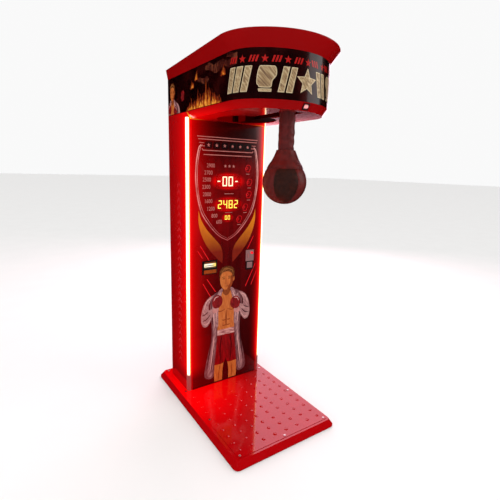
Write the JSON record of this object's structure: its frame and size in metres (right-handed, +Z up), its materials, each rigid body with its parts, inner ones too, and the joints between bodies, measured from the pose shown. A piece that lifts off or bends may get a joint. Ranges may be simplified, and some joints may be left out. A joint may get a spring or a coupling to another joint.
{
  "type": "boxing punch machine",
  "caption": "Arcade punch machine: leather ball on a swinging arm under a rounded head, lit column with displays, coin and note entry, tread base.",
  "frame": {"origin": "on the floor under the middle of the whole machine", "axes": "+Z up, -Y towards the player, +X to the right seen from the front"},
  "size_m": [0.7, 1.103, 2.0994],
  "materials": {
    "red_paint": "gloss",
    "frame_steel": "satin",
    "zinc_steel": "satin",
    "red_board": "gloss",
    "print_sheet": "gloss",
    "red_moulding": "gloss",
    "opal": "satin",
    "aluminium": "satin",
    "black_plastic": "gloss",
    "dark_plastic": "matte",
    "smoked": "gloss",
    "lit_digit": "matte",
    "lit_mouth": "satin",
    "chrome": "polished",
    "leather": "satin",
    "vinyl": "satin",
    "rubber": "matte",
    "red_button": "gloss",
    "rocker": "gloss",
    "circuit": "satin",
    "board_wood": "matte"
  },
  "bodies": {
    "cabinet": {"base_frame": "frame_steel", "base_skirt": "red_paint", "tread_plate": "red_paint", "panel_screws": "zinc_steel", "rubber_feet": "rubber", "side_panel_left": "red_board", "side_panel_right": "red_board", "front_panel": "print_sheet", "face_frame": "red_board", "foot_trim": "zinc_steel", "led_diffusers": "opal", "led_channels": "aluminium", "led_strips": "circuit", "corner_caps": "red_moulding", "rear_panel": "red_board", "column_floor": "board_wood", "column_frame": "frame_steel", "hinge_frame_leaves": "zinc_steel", "display_lenses": "smoked", "display_digits": "lit_digit", "display_modules": "dark_plastic", "note_bezel": "black_plastic", "note_mouth": "lit_mouth", "note_reader": "dark_plastic", "coin_faceplate": "zinc_steel", "coin_mechanism": "dark_plastic", "coin_return_cup": "black_plastic", "cash_box": "frame_steel", "power_supply": "aluminium", "controller_board": "circuit", "speaker": "frame_steel", "mains_inlet": "dark_plastic", "head_tray": "red_moulding", "switch_bezel": "black_plastic", "head_band": "print_sheet", "head_rear_panel": "red_board", "head_top_board": "board_wood", "head_rim": "red_moulding", "top_cover": "frame_steel", "head_frame": "frame_steel", "bearing_bridge": "frame_steel", "bearing_blocks": "frame_steel", "stop_bumper": "rubber", "angle_sensor": "black_plastic", "latch_solenoid": "dark_plastic"},
    "arm": {"swing_arm": "zinc_steel", "pivot_shaft": "zinc_steel", "catch_plate": "zinc_steel", "strike_ball": "leather", "ball_collar": "leather", "arm_sleeve": "vinyl"},
    "door": {"service_door": "red_board", "hinge_door_leaves": "zinc_steel", "lock_barrel": "chrome"},
    "cam": {"lock_cam": "zinc_steel"},
    "reject_button": {"coin_reject_button": "red_button"},
    "return_flap": {"coin_return_flap": "zinc_steel"},
    "rocker": {"switch_rocker": "rocker"},
    "hook": {"latch_hook": "zinc_steel"},
    "plunger": {"latch_plunger": "zinc_steel"}
  },
  "joints": [
    {"name": "arm_swing", "type": "hinge", "parent": "cabinet", "child": "arm", "pos_m": [0, -0.371, 1.875], "axis": [1, 0, 0], "range_deg": [-8, 85]},
    {"name": "door_swing", "type": "hinge", "parent": "cabinet", "child": "door", "pos_m": [-0.1915, 0.472, 0.64], "axis": [0, 0, 1], "range_deg": [0, 110]},
    {"name": "lock_turn", "type": "hinge", "parent": "door", "child": "cam", "pos_m": [0.15, 0.449, 0.64], "axis": [0, -1, 0], "range_deg": [0, 90]},
    {"name": "reject_push", "type": "slide", "parent": "cabinet", "child": "reject_button", "axis": [0, 1, 0], "range_m": [0, 0.004], "stiffness_N_per_m": 300},
    {"name": "flap_swing", "type": "hinge", "parent": "cabinet", "child": "return_flap", "pos_m": [0.179, 0.1935, 0.883], "axis": [1, 0, 0], "range_deg": [0, 60]},
    {"name": "rocker_tilt", "type": "hinge", "parent": "cabinet", "child": "rocker", "pos_m": [0.01, -0.48518, 1.80588], "axis": [1, 0, 0], "range_deg": [-8, 8]},
    {"name": "latch_turn", "type": "hinge", "parent": "cabinet", "child": "hook", "pos_m": [0.042, -0.317, 1.96], "axis": [1, 0, 0], "range_deg": [0, 20], "stiffness_Nm_per_rad": 0.3},
    {"name": "plunger_slide", "type": "slide", "parent": "cabinet", "child": "plunger", "axis": [0, 0, 1], "range_m": [0, 0.0158]}
  ],
  "couplings": [
    {"joint": "plunger_slide", "follows": "latch_turn", "m_per_rad": 0.045}
  ]
}
